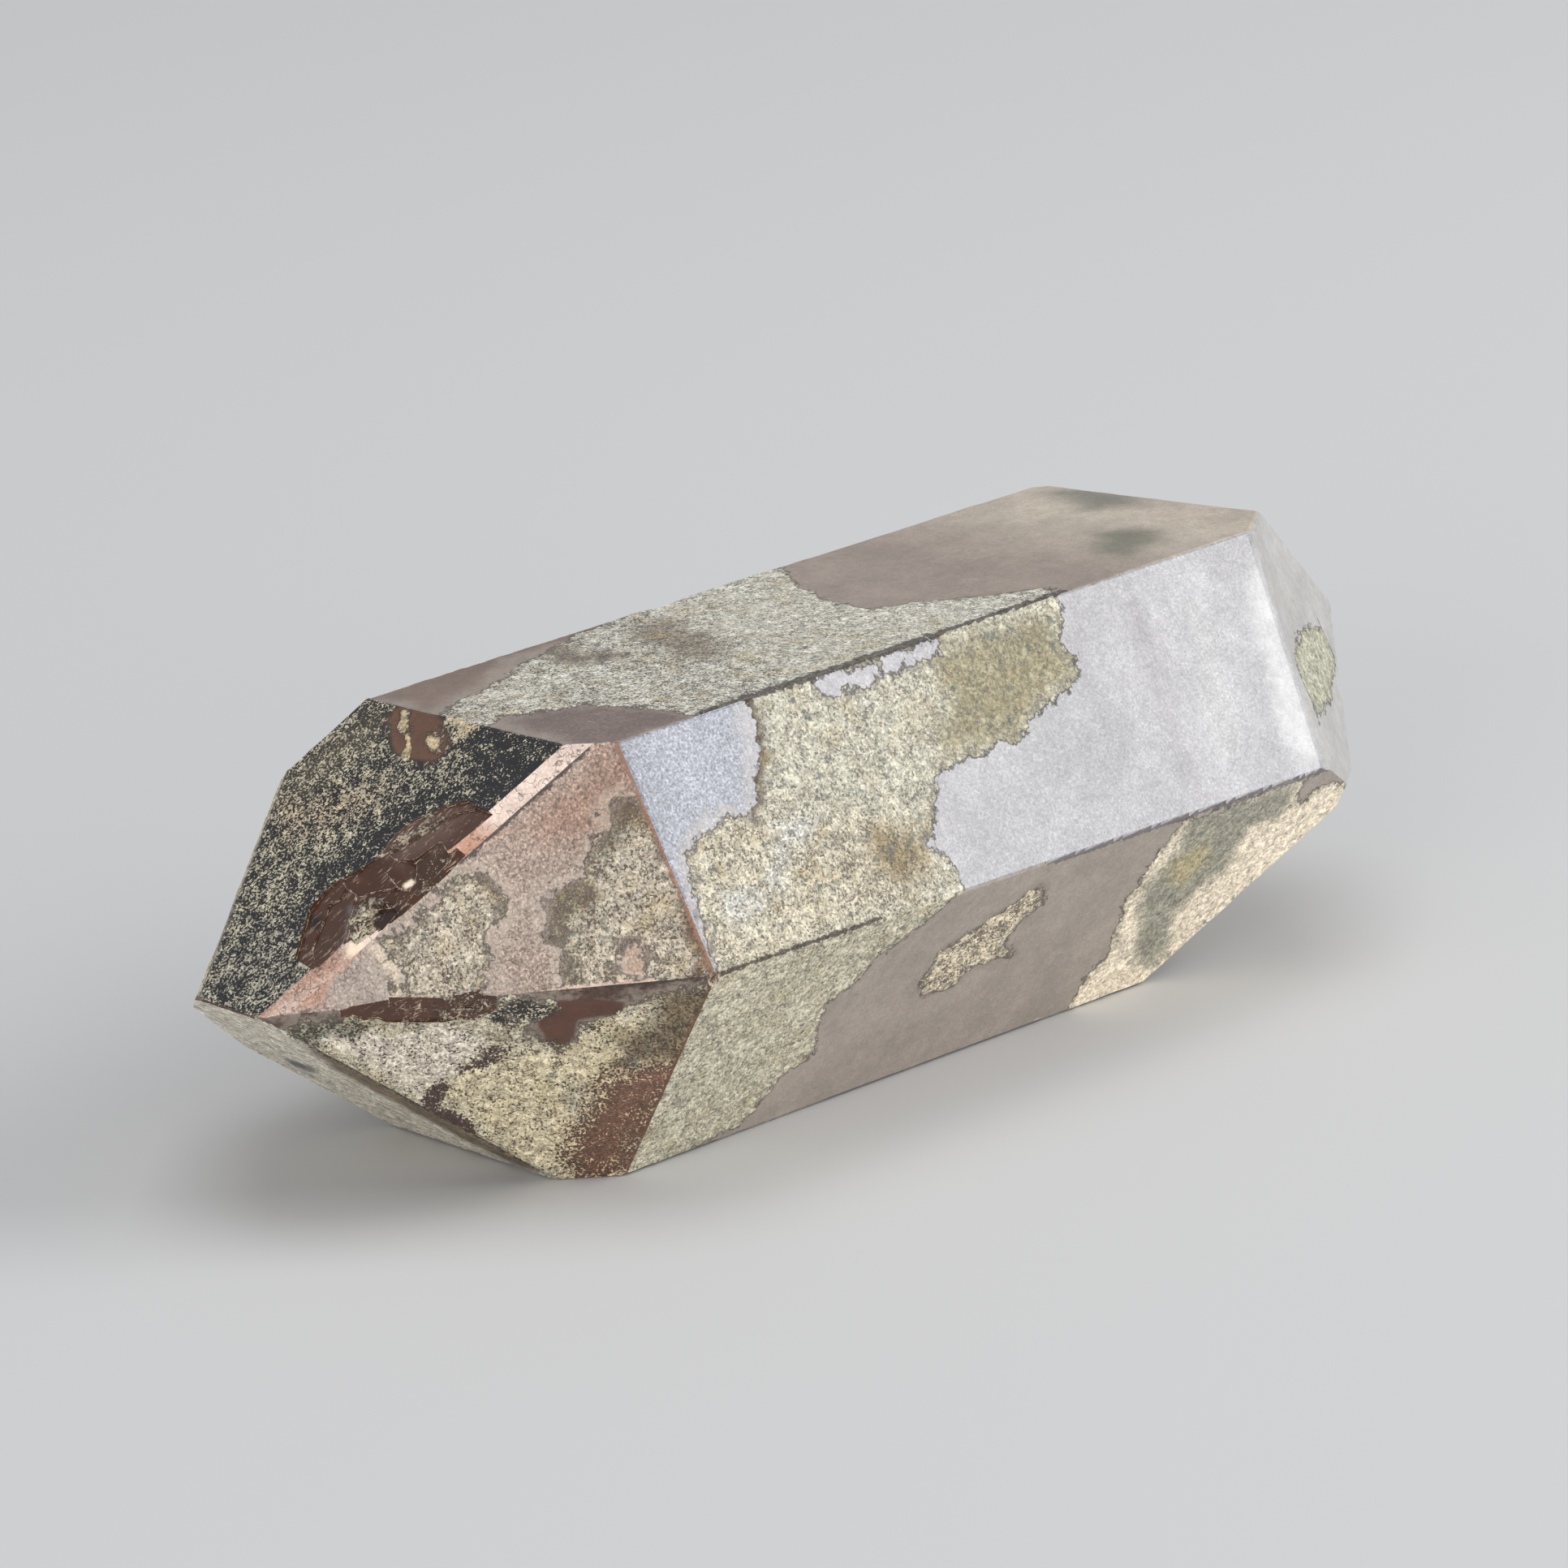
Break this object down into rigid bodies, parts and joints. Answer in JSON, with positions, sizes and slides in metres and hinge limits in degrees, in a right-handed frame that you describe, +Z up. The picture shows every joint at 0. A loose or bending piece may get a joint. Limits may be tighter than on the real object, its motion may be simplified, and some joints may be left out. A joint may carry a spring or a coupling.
{
  "type": "smoky quartz crystal",
  "caption": "Natural smoky quartz crystal with a point at each end, patched with a thin granular mineral coating, lying on one long face.",
  "frame": {"origin": "on the surface the crystal lies on, under the middle of its box", "axes": "+X along the crystal's long axis from its sharper point to its blunter end, +Z up, square to the long face that it lies on"},
  "size_m": [0.052, 0.0204, 0.0161],
  "materials": {
    "smoky_quartz": "brown translucent quartz, satin on its natural faces and glassy in its chips, under patches of a thin olive and cream granular coating"
  },
  "bodies": {
    "root": {"crystal": "smoky_quartz"}
  },
  "joints": []
}
